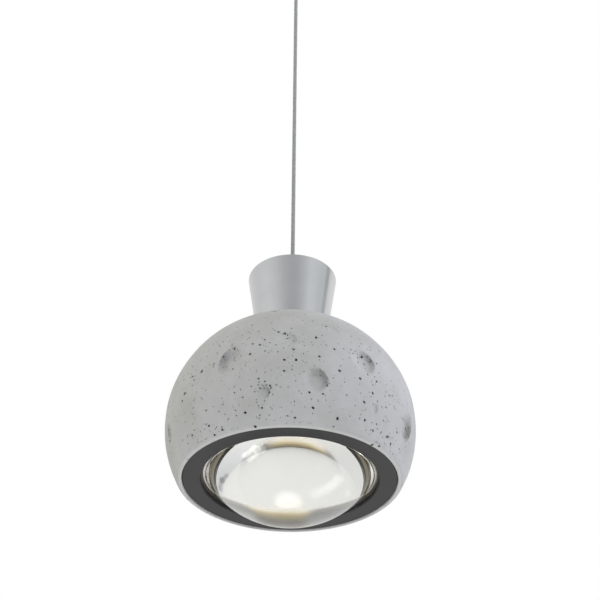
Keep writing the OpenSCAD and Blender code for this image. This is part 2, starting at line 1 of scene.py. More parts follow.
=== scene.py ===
import math
import random
from itertools import product

import bmesh
import bpy
import numpy as np
from mathutils import Matrix, Vector, noise


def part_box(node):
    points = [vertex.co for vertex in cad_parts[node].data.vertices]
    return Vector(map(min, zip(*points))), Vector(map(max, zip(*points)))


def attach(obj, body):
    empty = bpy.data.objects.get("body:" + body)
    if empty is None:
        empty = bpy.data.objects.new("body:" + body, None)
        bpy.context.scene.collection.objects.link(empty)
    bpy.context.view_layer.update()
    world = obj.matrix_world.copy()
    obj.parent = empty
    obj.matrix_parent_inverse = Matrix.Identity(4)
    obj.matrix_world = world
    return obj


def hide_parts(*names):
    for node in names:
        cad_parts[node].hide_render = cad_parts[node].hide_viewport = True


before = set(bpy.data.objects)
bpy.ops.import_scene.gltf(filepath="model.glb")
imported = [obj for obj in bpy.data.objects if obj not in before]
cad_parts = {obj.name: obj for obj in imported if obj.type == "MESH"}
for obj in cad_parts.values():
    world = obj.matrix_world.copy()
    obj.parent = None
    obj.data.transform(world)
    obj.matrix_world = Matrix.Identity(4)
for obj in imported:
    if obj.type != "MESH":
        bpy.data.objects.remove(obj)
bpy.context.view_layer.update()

MM = 0.001
PLAY = 0.04 * MM  # between the faces of scene pieces on different bodies

# Places that the frame gives. RIM_DROP is from the globe's widest level down to its lip
GLOBE_LO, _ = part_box("concrete_globe")
RING_LO, RING_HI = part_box("trim_ring")
NECK_LO, NECK_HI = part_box("neck_cone")
RIM_DROP = 35.3 * MM
MID_Z = GLOBE_LO.z + RIM_DROP

# The globe's outline, as in the part: a side arc and a cap arc that meet at ARC_SLOPE
GLOBE_R = 75 * MM
GLOBE_HALF_H = 71.2 * MM
GLOBE_WALL = 9 * MM
ARC_SLOPE = math.radians(56)
ARC_STEP = (GLOBE_R - GLOBE_HALF_H) / (math.cos(ARC_SLOPE) + math.sin(ARC_SLOPE) - 1)
SIDE_ARC_X = ARC_STEP * math.cos(ARC_SLOPE)
SIDE_ARC_R = GLOBE_R - SIDE_ARC_X
CAP_ARC_R = SIDE_ARC_R + ARC_STEP
CAP_ARC_Z = GLOBE_HALF_H - CAP_ARC_R
RIM_ROUND = 3.8 * MM
BOSS_R = 14 * MM
TUBE_GAP_R = 5.3 * MM
NECK_FOOT_R = 22 * MM

# Trim ring, lens and reflector
RING_R = RING_HI.x
RING_OPEN_R = RING_R - 10.8 * MM
SKIRT_R = RING_R - 3.2 * MM
BARREL_R = SKIRT_R - 2.6 * MM
RING_T = 2.75 * MM
FACE_Z = RING_LO.z
SEAT_Z = FACE_Z + RING_T
LENS_R = BARREL_R - 1.6 * MM
DOME_FOOT_R = RING_OPEN_R - 2.5 * MM
DOME_H = 25.5 * MM
FLANGE_T = 5.8 * MM

# Cord route below the swivel, in metres: the same points as in the part
PIVOT_Z = -0.033
CORD_ROUTE = [
    (0, 0, PIVOT_Z + z)
    for z in (
        -0.0053, -0.015, -0.025, -0.05, -0.075, -0.1, -0.125, -0.15, -0.175, -0.2,
        -0.225, -0.25, -0.275, -0.3, -0.325, -0.35, -0.375,
    )
]
CORD_D = 2.7 * MM

# Camera: place from the globe's middle, direction of view, roll in radians and focal length in mm
CAMERA_BACK, CAMERA_DOWN = 0.66325, 0.38985
CAMERA_AHEAD = (0.00614, 0.80611, 0.59174)
CAMERA_ROLL = 0.0083
CAMERA_LENS, CAMERA_FILM = 76.7, 36

# Sides of each turned piece, and of the floor its height, its width and where it fades, in metres
GLOBE_SIDES, RING_SIDES, NECK_SIDES, LENS_SIDES, BOWL_SIDES = 600, 320, 256, 256, 192
FLOOR_Z, FLOOR_WIDTH, FADE_START, FADE_END = -2.6, 80, 3.5, 11

# Craters: longitude from the front, slope of the surface, width and height in mm, lean of the long
# axis, depth in mm, and the side (degrees from the surface's right, anticlockwise) where the wall is steep
CRATERS = [
    (-26.3, 5, 17, 20, -30, 2.6, 155),
    (-3, 13, 14, 13, 0, 0.9, 35),
    (10.5, -9.3, 14, 16, 0, 2.8, 46),
    (33, 7, 17, 17, 20, 2.2, 35),
    (65, -12, 15, 19, 0, 2.6, -10),
    (-12.3, -15, 8, 9.5, 20, 1.8, 35),
    (40, -15, 5, 7, 0, 0.9, 0),
    (-72, -12, 9, 14, 0, 1.3, 180),
    (20, 24, 8, 7, 0, 0.45, 30),
]
# Crowds of small pores on the front: longitude, slope, spread in degrees and count
CROWDS = (
    (-44, -23, 9, 26), (55, -24, 9, 34), (-8, -20, 8, 24), (-52, 4, 7, 14), (-14, 21, 9, 16),
    (40, 19, 10, 22), (5, 10, 12, 20), (44, -6, 9, 16), (-30, 14, 9, 18), (14, -20, 10, 18),
)
# Tight crowds at the craters' edges, in the same terms
TIGHT_CROWDS = ((-12.5, -11.3, 1.7, 9), (-9.8, -15, 1.0, 2), (29, 11, 2.6, 6), (-4, 17, 3, 5))
# Counts of pores at the back, clusters all round and pores on top, and the slopes that random ones keep to
BACK_PORES, CLUSTERS, TOP_PORES = 190, 100, 90
LOWEST_PORE, HIGHEST_CROWD, HIGHEST_CLUSTER = -29, 50, 60
# Open pores on the front: longitude, slope and size, each unit of which is PORE_UNIT mm of diameter
PORE_UNIT = 0.12
PORES = [
    (-20, 28, 10), (-6, 19, 13), (-3, 18, 12), (11, 16, 15), (19, 10, 12), (12, 4, 12),
    (2, 1, 14), (-3, 1, 13), (-3, -5, 11), (-14, 11, 12), (-18, 6, 13), (-26, 12, 12),
    (-43, 5, 17), (-49, 5, 13), (-54, -2, 17), (-56, -5, 12), (-36, 6, 11), (21, -2, 14),
    (31, -3, 14), (40, -1, 12), (38, -8, 13), (34, -14, 13), (10, -22, 13), (8, -15, 11),
    (-21, -23, 13), (22, -25, 14), (-14, -8, 10), (-9, -12, 11), (-26, 0, 11), (34, 12, 14),
    (17, 27, 12), (2, -27, 11), (1, 7, 11), (-12, 14, 10), (14, -15, 10), (-13, -22, 10),
    (-17, -30, 14), (-34, -28, 12), (-39, -29, 12), (-41, -24, 12), (36, -22, 12),
    (52, -24, 14), (56, -26, 13), (58, -19, 11), (49, -30, 12), (45, -31, 13), (64, -9, 14),
    (69, -11, 15), (42, -25, 11), (-53, -24, 12), (47, 22, 10), (41, 10, 10), (-11.6, 46, 32),
    (-8.8, 47, 22),
]
# Pits of this radius or more let light in, so they get only this share of painted shade, and craters of this
# depth in mm or more get the darkest painted shade on their walls
WIDE_PIT_R, WIDE_PIT_SHADE = 1.2 * MM, 0.35
DARKEST_DEPTH = 4.4


# ---- mesh helpers ----

def new_object(name, mesh, body, material, *replaced, slot=None):
    """Puts a mesh in the scene, lets it ride on a body and stand for the CAD nodes it replaces."""
    piece = bpy.data.objects.new(name, mesh)
    bpy.context.scene.collection.objects.link(piece)
    mesh.materials.append(material)
    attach(piece, body)
    if replaced:
        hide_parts(*replaced)
    return piece


def rounded(corners):
    """Profile points of a closed outline of (x, z, fillet) corners, with arcs and supporting points."""
    support, arc_step = 0.25 * MM, math.radians(18)
    points = []
    count = len(corners)
    for i, (x, z, fillet) in enumerate(corners):
        here = np.array([x, z])
        before = np.array(corners[i - 1][:2]) - here
        after = np.array(corners[(i + 1) % count][:2]) - here
        if fillet <= 0:
            points.append(tuple(here))
            continue
        before_l, after_l = np.linalg.norm(before), np.linalg.norm(after)
        before, after = before / before_l, after / after_l
        half = math.acos(np.clip(before @ after, -1, 1)) / 2
        reach = min(fillet / math.tan(half), 0.45 * before_l, 0.45 * after_l)
        radius = reach * math.tan(half)
        middle = here + (before + after) / np.linalg.norm(before + after) * radius / math.sin(half)
        start, end = here + before * reach, here + after * reach
        a0 = math.atan2(*(start - middle)[::-1])
        turn = (math.atan2(*(end - middle)[::-1]) - a0 + math.pi) % (2 * math.pi) - math.pi
        if before_l > 2 * (reach + support):
            points.append(tuple(start + before * support))
        steps = max(2, round(abs(turn) / arc_step))
        angles = [a0 + turn * k / steps for k in range(steps + 1)]
        points += [tuple(middle + radius * np.array([math.cos(a), math.sin(a)])) for a in angles]
        if after_l > 2 * (reach + support):
            points.append(tuple(end + after * support))
    return points


def lathe(name, profile, segments, closed=True):
    """A mesh turned round the Z axis. An open profile starts and ends on the axis."""
    verts, rings = [], []
    for x, z in profile:
        if x < 1e-9:
            rings.append([len(verts)])
            verts.append((0, 0, z))
            continue
        rings.append(range(len(verts), len(verts) + segments))
        verts += [
            (x * math.cos(a), x * math.sin(a), z)
            for a in (2 * math.pi * k / segments for k in range(segments))
        ]
    faces = []
    for i in range(len(rings) if closed else len(rings) - 1):
        a, b = rings[i], rings[(i + 1) % len(rings)]
        for k in range(segments):
            n = (k + 1) % segments
            if len(a) == 1:
                faces.append((a[0], b[n], b[k]))
            elif len(b) == 1:
                faces.append((a[k], a[n], b[0]))
            else:
                faces.append((a[k], a[n], b[n], b[k]))
    mesh = bpy.data.meshes.new(name)
    mesh.from_pydata(verts, [], faces)
    tidy_normals(mesh)
    return mesh


def tidy_normals(mesh):
    """Turns all faces outwards and shades them smooth."""
    work = bmesh.new()
    work.from_mesh(mesh)
    bmesh.ops.recalc_face_normals(work, faces=work.faces)
    work.to_mesh(mesh)
    work.free()
    mesh.shade_smooth()


def second_finish(mesh, material, chosen):
    """Puts a second material on the faces whose centres are chosen."""
    mesh.materials.append(material)
    for face in mesh.polygons:
        if chosen(face.center):
            face.material_index = 1


def arc(centre, radius, start, end, steps):
    """Points of an arc in the (x, z) plane, from one angle to another in radians."""
    return [
        (centre[0] + radius * math.cos(a), centre[1] + radius * math.sin(a))
        for a in np.linspace(start, end, steps + 1)
    ]


# ---- node helpers ----

def new_material(name, **values):
    """A material with a principled shader, whose plain values are set on its own sockets."""
    material = bpy.data.materials.new(name)
    material.use_nodes = True
    shader = material.node_tree.nodes["Principled BSDF"]
    for key, value in values.items():
        shader.inputs[key.replace("_", " ")].default_value = value
    return material, material.node_tree, shader


def add(tree, kind, inputs=(), **settings):
    """Adds a node. Its inputs are given as {socket: value or another node's output}."""
    node = tree.nodes.new(kind)
    for key, value in settings.items():
        setattr(node, key, value)
    for key, value in dict(inputs).items():
        if isinstance(value, bpy.types.NodeSocket):
            tree.links.new(value, node.inputs[key])
        else:
            node.inputs[key].default_value = value
    return node


def maths(tree, operation, a, b):
    """The result of a Math node on numbers or sockets."""
    return add(tree, "ShaderNodeMath", {0: a, 1: b}, operation=operation).outputs[0]


def spread(tree, value, low, high, to_low=0.0, to_high=1.0, smooth=True):
    """Maps low..high of a value to to_low..to_high, held at both ends."""
    node = add(
        tree, "ShaderNodeMapRange",
        {"Value": value, "From Min": low, "From Max": high, "To Min": to_low, "To Max": to_high},
        interpolation_type="SMOOTHSTEP" if smooth else "LINEAR",
    )
    return node.outputs["Result"]


def along_way(tree, vector, way):
    """How far a direction points along another: the dot product."""
    node = add(tree, "ShaderNodeVectorMath", {0: vector, 1: way}, operation="DOT_PRODUCT")
    return node.outputs["Value"]


def scaled(tree, vector, scale):
    """A vector or colour times a number."""
    return add(tree, "ShaderNodeVectorMath", {0: vector, "Scale": scale}, operation="SCALE").outputs[0]


def distance(tree, vector):
    """The length of a vector."""
    return add(tree, "ShaderNodeVectorMath", {0: vector}, operation="LENGTH").outputs["Value"]


def attribute(tree, name):
    """A value that the mesh carries at each of its points."""
    return add(tree, "ShaderNodeAttribute", attribute_name=name).outputs["Fac"]


def height_of(tree, at):
    """The Z of a place."""
    return add(tree, "ShaderNodeSeparateXYZ", {0: at}).outputs[2]


def mix(tree, share, a, b):
    """Colour a where the share is 0 and colour b where it is 1. A colour is a tuple or a socket."""
    node = add(tree, "ShaderNodeMix", {0: share}, data_type="RGBA")
    for socket, value in ((6, a), (7, b)):
        if isinstance(value, bpy.types.NodeSocket):
            tree.links.new(value, node.inputs[socket])
        else:
            node.inputs[socket].default_value = (*value, 1)
    return node.outputs[2]


def ramp(tree, value, stops):
    """A colour ramp over a 0..1 value, of (place, colour) stops in rising order."""
    node = add(tree, "ShaderNodeValToRGB", {0: value})
    elements = node.color_ramp.elements
    for stop, (at, tone) in ((elements[0], stops[0]), (elements[-1], stops[-1])):
        stop.position, stop.color = at, (*tone, 1)
    for at, tone in stops[1:-1]:
        elements.new(at).color = (*tone, 1)
    return node.outputs["Color"]


def place(tree):
    """The place on the piece in metres, which is its place in the frame at rest."""
    return add(tree, "ShaderNodeTexCoord").outputs["Object"]


def grain(tree, vector, scale, detail, roughness, distortion=0.0):
    """Noise from 0 to 1 with features of about 1 / scale metres."""
    inputs = {
        "Vector": vector, "Scale": scale, "Detail": detail, "Roughness": roughness, "Distortion": distortion,
    }
    return add(tree, "ShaderNodeTexNoise", inputs).outputs["Fac"]


def turned(tree):
    """Coordinates of a lathe-turned surface: stretched round the axis, fine across it."""
    xyz = add(tree, "ShaderNodeSeparateXYZ", {0: place(tree)}).outputs
    flat = add(tree, "ShaderNodeCombineXYZ", {0: xyz[0], 1: xyz[1]}).outputs[0]
    line = add(tree, "ShaderNodeCombineXYZ", {0: distance(tree, flat), 2: xyz[2]}).outputs[0]
    swirl = scaled(tree, flat, 0.02)
    return add(tree, "ShaderNodeVectorMath", {0: line, 1: swirl}, operation="ADD").outputs[0]


def bump(tree, shader, height, depth):
    """Bump of a 0..1 height that is depth metres deep."""
    node = add(tree, "ShaderNodeBump", {"Height": height, "Distance": depth, "Strength": 1.0})
    tree.links.new(node.outputs[0], shader.inputs["Normal"])


def colour(tree, shader, socket):
    """Drives the shader's base colour."""
    tree.links.new(socket, shader.inputs["Base Color"])


def glow(tree, shader, socket):
    """Drives the colour of the light that the shader gives off."""
    tree.links.new(socket, shader.inputs["Emission Color"])


def roughness(tree, shader, socket):
    """Drives the shader's roughness."""
    tree.links.new(socket, shader.inputs["Roughness"])


# ---- materials ----

# Finishes that scene pieces share with the CAD nodes they replace, by slot. They are made further down
FINISH = {}


def pore_field(tree, vector, cell, keep, small, large):
    """Round pores of small to large metres radius in random cells: a 0..1 mask, and a chance for each."""
    cells = add(tree, "ShaderNodeTexVoronoi", {"Vector": vector, "Scale": 1 / cell, "Randomness": 0.9})
    chance = add(tree, "ShaderNodeSeparateColor", {0: cells.outputs["Color"]}).outputs
    size = spread(tree, chance[1], 0, 1, small / cell, large / cell, smooth=False)
    inside = maths(tree, "SUBTRACT", 1.0, maths(tree, "DIVIDE", cells.outputs["Distance"], size))
    mask = spread(tree, inside, 0.0, 0.6)
    return maths(tree, "MULTIPLY", mask, maths(tree, "LESS_THAN", chance[0], keep)), chance[2]


def concrete():
    """Pale cast concrete: cloudy and sandy, with a painted highlight on its lip, and painted shade in its
    fine pores, its open pores and on its crater walls.
    """
    material, tree, shader = new_material("concrete_cast", Roughness=0.9, Specular_IOR_Level=0.3)
    at = place(tree)
    cloud = grain(tree, at, 28, 5, 0.6)
    blotch = grain(tree, at, 110, 4, 0.6, 0.4)
    sand = grain(tree, at, 1500, 3, 0.7)
    tone = mix(tree, spread(tree, cloud, 0.35, 0.65), (0.465, 0.47, 0.46), (0.52, 0.52, 0.53))
    tone = mix(tree, spread(tree, blotch, 0.45, 0.75, 0, 0.3), tone, (0.60, 0.60, 0.60))
    tone = mix(tree, spread(tree, sand, 0.3, 0.7, 0, 0.12), tone, (0.30, 0.30, 0.30))
    # Painted highlight along the lip: lighter over its lowest 0.7 mm
    lip = spread(tree, height_of(tree, at), GLOBE_LO.z + 0.7 * MM, GLOBE_LO.z + 0.1 * MM, 0, 0.5)
    tone = mix(tree, lip, tone, (0.68, 0.68, 0.67))
    crowd = spread(tree, grain(tree, at, 60, 2, 0.5), 0.38, 0.62, 0.15, 0.75)
    wide, wide_dark = pore_field(tree, at, 2.9 * MM, crowd, 0.35 * MM, 0.75 * MM)
    fine, fine_dark = pore_field(tree, at, 1.3 * MM, 0.30, 0.12 * MM, 0.26 * MM)
    # Painted shade inside the small pores of the texture, deeper in some than others
    wide_share = maths(tree, "MULTIPLY", wide, spread(tree, wide_dark, 0, 1, 0.25, 0.85))
    fine_share = maths(tree, "MULTIPLY", fine, spread(tree, fine_dark, 0, 1, 0.15, 0.5))
    tone = mix(tree, wide_share, tone, (0.11, 0.11, 0.11))
    tone = mix(tree, fine_share, tone, (0.14, 0.14, 0.14))
    # Painted shade inside the open pores, carried by the mesh
    tone = mix(tree, attribute(tree, "pore"), tone, (0.02, 0.02, 0.022))
    # Painted shade on the crater walls, carried by the mesh and a little uneven
    shade = maths(tree, "MULTIPLY", attribute(tree, "shade"), spread(tree, blotch, 0.3, 0.7, 0.8, 1.0))
    tone = mix(tree, shade, tone, (0.13, 0.13, 0.125))
    colour(tree, shader, tone)
    holes = maths(tree, "MAXIMUM", wide, fine)
    bump(tree, shader, maths(tree, "SUBTRACT", maths(tree, "MULTIPLY", sand, 0.10), holes), 0.2 * MM)
    roughness(tree, shader, spread(tree, blotch, 0.3, 0.7, 0.82, 0.95))
    return material


def metal(name, base, rough, groove=3500.0, depth=0.004 * MM, round_axis=True, wear=0.08):
    """Turned or brushed metal: fine lines, cloudy roughness and slightly lighter worn places."""
    material, tree, shader = new_material(name, Metallic=1.0)
    at = turned(tree) if round_axis else place(tree)
    lines = grain(tree, at, groove, 3, 0.6)
    cloud = grain(tree, place(tree), 60, 4, 0.6)
    dull = tuple(c * (1 - wear) for c in base)
    bright = tuple(min(1, c * (1 + wear)) for c in base)
    colour(tree, shader, mix(tree, spread(tree, cloud, 0.35, 0.7), dull, bright))
    wide_change = spread(tree, cloud, 0.3, 0.7, rough * 0.95, rough * 1.06)
    fine_change = spread(tree, lines, 0.3, 0.7, -0.03, 0.03)
    roughness(tree, shader, maths(tree, "ADD", wide_change, fine_change))
    bump(tree, shader, lines, depth)
    return material


def paint():
    """Matte dark powder coat with a fine orange peel, a little lighter on its crests."""
    material, tree, shader = new_material("dark_powder", Specular_IOR_Level=0.35)
    at = place(tree)
    peel = grain(tree, at, 2200, 3, 0.5)
    cloud = grain(tree, at, 90, 4, 0.6)
    tone = mix(tree, spread(tree, cloud, 0.3, 0.7), (0.041, 0.041, 0.043), (0.050, 0.050, 0.052))
    colour(tree, shader, mix(tree, spread(tree, peel, 0.55, 0.75, 0, 0.3), tone, (0.085, 0.085, 0.088)))
    roughness(tree, shader, spread(tree, cloud, 0.3, 0.7, 0.52, 0.62))
    bump(tree, shader, peel, 0.02 * MM)
    return material


def glass():
    """Thick pressed glass with faint seeds of roughness. Its clear body is nearly colourless."""
    material, tree, shader = new_material(
        "lens_glass_body", Transmission_Weight=1.0, IOR=1.5, Base_Color=(0.985, 0.99, 0.985, 1)
    )
    at = place(tree)
    haze = grain(tree, at, 120, 3, 0.5)
    roughness(tree, shader, spread(tree, haze, 0.4, 0.8, 0.0, 0.02))
    bump(tree, shader, grain(tree, at, 35, 1, 0.4), 0.01 * MM)
    return material


def plastic(name, low, high, rough, texture=1400.0, depth=0.01 * MM, **values):
    """Moulded plastic, rubber or white enamel: slight mottling and a spark-eroded texture."""
    material, tree, shader = new_material(name, **values)
    at = place(tree)
    cloud = grain(tree, at, 80, 3, 0.5)
    skin = grain(tree, at, texture, 2, 0.5)
    tone = mix(tree, spread(tree, cloud, 0.3, 0.7), low, high)
    colour(tree, shader, tone)
    roughness(tree, shader, spread(tree, skin, 0.3, 0.7, rough * 0.9, rough * 1.12))
    bump(tree, shader, skin, depth)
    return material


def bare_threads_painted_glow():
    """The uncoated inside of the trim ring, champagne metal with uneven thread lines, in painted light: it
    glows, brighter on the lines.
    """
    material, tree, shader = new_material(
        "ring_bare_champagne_painted_glow", Metallic=1.0, Roughness=0.4, Emission_Strength=0.25
    )
    lines = grain(tree, turned(tree), 1300, 2, 0.6)
    share = spread(tree, lines, 0.40, 0.60)
    colour(tree, shader, mix(tree, share, (0.42, 0.36, 0.22), (0.80, 0.76, 0.62)))
    # Painted light: the skirt glows, brighter on the thread lines
    glow(tree, shader, mix(tree, share, (0.16, 0.12, 0.05), (0.68, 0.63, 0.48)))
    bump(tree, shader, lines, 0.05 * MM)
    return material


def bowl_enamel_painted_light():
    """The reflector's enamel in painted light: a painted glow white by the lens, then a soft gold, and
    painted shade to a dim grey deep inside.
    """
    material, tree, shader = new_material("reflector_enamel_painted_light", Roughness=0.4, Emission_Strength=1.0)
    at = place(tree)
    height = height_of(tree, at)
    haze = maths(tree, "MULTIPLY", grain(tree, at, 220, 3, 0.5), 0.6 * MM)
    low, band = SEAT_Z + FLANGE_T + 5.3 * MM, 6 * MM
    depth = spread(tree, maths(tree, "ADD", height, haze), low, low + band, smooth=False)
    # Base colours with painted shade, white by the lens and darker deeper in: gold towards the back, grey
    # elsewhere
    enamel = ramp(tree, depth, (
        (0.2, (0.88, 0.87, 0.83)), (0.33, (0.8, 0.78, 0.70)), (0.62, (0.44, 0.37, 0.24)),
        (0.8, (0.10, 0.09, 0.08)),
    ))
    grey = ramp(tree, depth, (
        (0.05, (0.85, 0.85, 0.84)), (0.25, (0.38, 0.38, 0.38)), (0.6, (0.25, 0.25, 0.25)),
    ))
    # Colours of the painted glow, bright by the lens and dim deeper in: warm towards the back, cool
    # elsewhere
    warm = ramp(tree, depth, (
        (0.0, (0.62, 0.58, 0.51)), (0.28, (0.58, 0.52, 0.38)), (0.45, (0.42, 0.33, 0.17)),
        (0.58, (0.2, 0.155, 0.065)), (0.67, (0.12, 0.10, 0.04)), (0.78, (0.03, 0.025, 0.02)),
    ))
    cool = ramp(tree, depth, (
        (0.0, (0.40, 0.38, 0.35)), (0.12, (0.21, 0.195, 0.17)), (0.4, (0.17, 0.16, 0.14)),
        (0.6, (0.12, 0.12, 0.12)), (0.9, (0.30, 0.31, 0.32)),
    ))
    side = add(tree, "ShaderNodeVectorMath", {0: at, 1: (1, 1, 0)}, operation="MULTIPLY").outputs[0]
    side = add(tree, "ShaderNodeVectorMath", {0: side}, operation="NORMALIZE").outputs[0]
    across = add(tree, "ShaderNodeSeparateXYZ", {0: side}).outputs[0]
    middle = spread(tree, along_way(tree, side, (-0.06, 0.998, 0)), 0.971, 0.994)
    colour(tree, shader, mix(tree, middle, grey, enamel))
    # Painted light: the cool glow is half as bright on the +X side
    light = mix(tree, middle, scaled(tree, cool, spread(tree, across, -0.1, 0.15, 1.0, 0.5)), warm)
    # Painted highlights near the bowl's open rim by the lens, at two headings
    mouth_highlight = spread(tree, height, low - 1.5 * MM, low - 1.9 * MM)
    for way, level in (((-0.72, 0.69, 0), 0.75), ((0.80, 0.60, 0), 0.3)):
        near = maths(tree, "MULTIPLY", mouth_highlight, spread(tree, along_way(tree, side, way), 0.95, 0.99))
        light = mix(tree, maths(tree, "MULTIPLY", near, level), light, (1.0, 0.96, 0.90))
    # A painted highlight at one heading, near the lens
    painted_highlight = spread(tree, along_way(tree, side, (0.276, 0.961, 0)), 0.98, 0.997)
    painted_highlight = maths(tree, "MULTIPLY", painted_highlight, spread(tree, depth, 0.25, 0.0, 0, 0.35))
    glow(tree, shader, mix(tree, painted_highlight, light, (1.0, 0.98, 0.94)))
    bump(tree, shader, grain(tree, at, 500, 2, 0.5), 0.02 * MM)
    return material


def phosphor():
    """The light-giving disc: a fine grid of chips under warm phosphor."""
    material, tree, shader = new_material("led_phosphor_disc", Roughness=0.5, Emission_Strength=2.5)
    at = place(tree)
    dots = add(tree, "ShaderNodeTexVoronoi", {"Vector": at, "Scale": 1 / (1.3 * MM), "Randomness": 0.15})
    share = spread(tree, dots.outputs["Distance"], 0.2, 0.6)
    tone = mix(tree, share, (1.0, 0.84, 0.48), (0.92, 0.66, 0.22))
    colour(tree, shader, tone)
    glow(tree, shader, tone)
    bump(tree, shader, share, 0.03 * MM)
    return material


def braid():
    """Grey textile threads: colour varies from strand to strand, with fibres along each, and painted shade
    in the valleys between strands.
    """
    material, tree, shader = new_material(
        "cord_textile", Roughness=0.85, Sheen_Weight=0.3, Specular_IOR_Level=0.2
    )
    at = place(tree)
    fibres = grain(tree, at, 9000, 3, 0.7)
    strands = grain(tree, at, 700, 2, 0.6)
    tone = mix(tree, spread(tree, strands, 0.35, 0.65), (0.34, 0.35, 0.36), (0.45, 0.46, 0.46))
    tone = mix(tree, spread(tree, fibres, 0.5, 0.8, 0, 0.5), tone, (0.55, 0.56, 0.56))
    # Painted shade in the valleys between strands
    low = maths(tree, "MULTIPLY", attribute(tree, "valley"), 0.7)
    colour(tree, shader, mix(tree, low, tone, (0.10, 0.10, 0.11)))
    bump(tree, shader, fibres, 0.03 * MM)
    return material


def dress_nodes():
    """Gives every CAD node its procedural finish, by the slot that the record names."""
    aluminium = metal("aluminium_satin", (0.69, 0.70, 0.72), 0.3, wear=0.015)
    cast = metal("aluminium_cast", (0.62, 0.62, 0.62), 0.5, groove=900, depth=0.03 * MM, round_axis=False)
    steel = metal(
        "steel_zinc", (0.62, 0.63, 0.65), 0.32, groove=1800, depth=0.006 * MM, round_axis=False, wear=0.14
    )
    brass = metal("brass_turned", (0.76, 0.58, 0.28), 0.3, groove=2500)
    rubber = plastic("rubber_black", (0.035, 0.035, 0.035), (0.06, 0.06, 0.06), 0.75, 900, 0.03 * MM)
    silicone = plastic("gasket_silicone", (0.30, 0.24, 0.13), (0.42, 0.35, 0.20), 0.4, 900, 0.02 * MM)
    white = plastic("plastic_white", (0.80, 0.80, 0.77), (0.86, 0.86, 0.84), 0.5)
    board = plastic("board_mask_white", (0.82, 0.82, 0.82), (0.88, 0.88, 0.88), 0.4, 600, 0.02 * MM)
    sheath = plastic("wire_sheath_red", (0.42, 0.05, 0.04), (0.52, 0.09, 0.07), 0.42, 700, 0.02 * MM)
    brown = plastic("wire_sheath_brown", (0.16, 0.07, 0.035), (0.22, 0.10, 0.05), 0.42, 700, 0.02 * MM)
    special = {
        "heat_sink": cast, "lens_gasket": silicone, "led_emitter": phosphor(), "led_board": board,
        "supply_leads": brown,
    }
    by_slot = {
        "satin_aluminium": aluminium, "zinc_steel": steel, "brass": brass, "rubber": rubber,
        "white_plastic": white, "board_white": board, "wire_sheath": sheath,
    }
    for name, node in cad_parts.items():
        for slot in node.material_slots:
            slot_name = slot.name.split(".")[0]
            slot.material = special.get(name) or by_slot.get(slot_name) or FINISH.get(slot_name)


# ---- camera and cord ----

def make_camera():
    """The photograph's viewpoint: below the globe and in front of it, 36 degrees up, nearly level."""
    data = bpy.data.cameras.new("camera")
    data.lens, data.sensor_width = CAMERA_LENS, CAMERA_FILM
    camera = bpy.data.objects.new("camera", data)
    bpy.context.scene.collection.objects.link(camera)
    ahead = Vector(CAMERA_AHEAD).normalized()
    side = ahead.cross(Vector((0, 0, 1))).normalized()
    right = side * math.cos(CAMERA_ROLL) + side.cross(ahead) * math.sin(CAMERA_ROLL)
    up = right.cross(ahead)
    turn = Matrix((right, up, -ahead)).transposed().to_4x4()
    camera.matrix_world = Matrix.Translation((0, -CAMERA_BACK, MID_Z - CAMERA_DOWN)) @ turn
    bpy.context.scene.camera = camera


def make_cord():
    """A braid of eight strands each way, over and under, as relief on a fine tube."""
    strands, sides, step = 8, 32, 0.35 * MM
    relief = 0.12 * MM
    top, bottom = CORD_ROUTE[0][2], CORD_ROUTE[-1][2]
    rings = round((top - bottom) / step) + 1
    # Radians round the cord for each metre along it: the strands lie at 45 degrees
    turns = 2 * math.pi / (math.pi * CORD_D)
    z = np.linspace(top, bottom, rings)[:, None]
    angle = np.linspace(0, 2 * math.pi, sides, endpoint=False)[None, :] + 0 * z
    one = (strands * angle + strands * turns * z) / (2 * math.pi)
    two = (strands * angle - strands * turns * z) / (2 * math.pi)
    hump = [1 - (2 * (u - np.floor(u)) - 1) ** 2 for u in (one, two)]
    first = (np.floor(one) + np.floor(two)) % 2 == 0
    high = np.where(first, hump[0] * (0.55 + 0.45 * hump[1]), hump[1] * (0.55 + 0.45 * hump[0]))
    radius = CORD_D / 2 - relief * (1 - high)
    verts = np.stack([radius * np.cos(angle), radius * np.sin(angle), z + 0 * angle], -1).reshape(-1, 3)
    faces = [
        (i * sides + k, (i + 1) * sides + k, (i + 1) * sides + (k + 1) % sides, i * sides + (k + 1) % sides)
        for i in range(rings - 1) for k in range(sides)
    ]
    faces += [tuple(range(sides)), tuple(range(rings * sides - 1, (rings - 1) * sides - 1, -1))]
    mesh = bpy.data.meshes.new("cord_braid")
    mesh.from_pydata(verts.tolist(), [], faces)
    tidy_normals(mesh)
    # How deep each point lies between strands, which the cord's material paints as shade
    mesh.attributes.new("valley", "FLOAT", "POINT").data.foreach_set("value", (1 - high).ravel())
    cord = new_object("cord_braid", mesh, "suspension", FINISH["cord_braid"], "cord", slot="cord_braid")


# ---- globe ----

def surface_frame(longitude, slope):
    """Place, right and up on the globe's side or cap arc, relative to its middle."""
    a, t = math.radians(longitude), math.radians(slope)
    out = Vector((math.sin(a), -math.cos(a), 0))
    normal = out * math.cos(t) + Vector((0, 0, math.sin(t)))
    right = Vector((math.cos(a), math.sin(a), 0))
    if t > ARC_SLOPE:
        return Vector((0, 0, CAP_ARC_Z)) + normal * CAP_ARC_R, right, normal.cross(right)
    return out * SIDE_ARC_X + normal * SIDE_ARC_R, right, normal.cross(right)


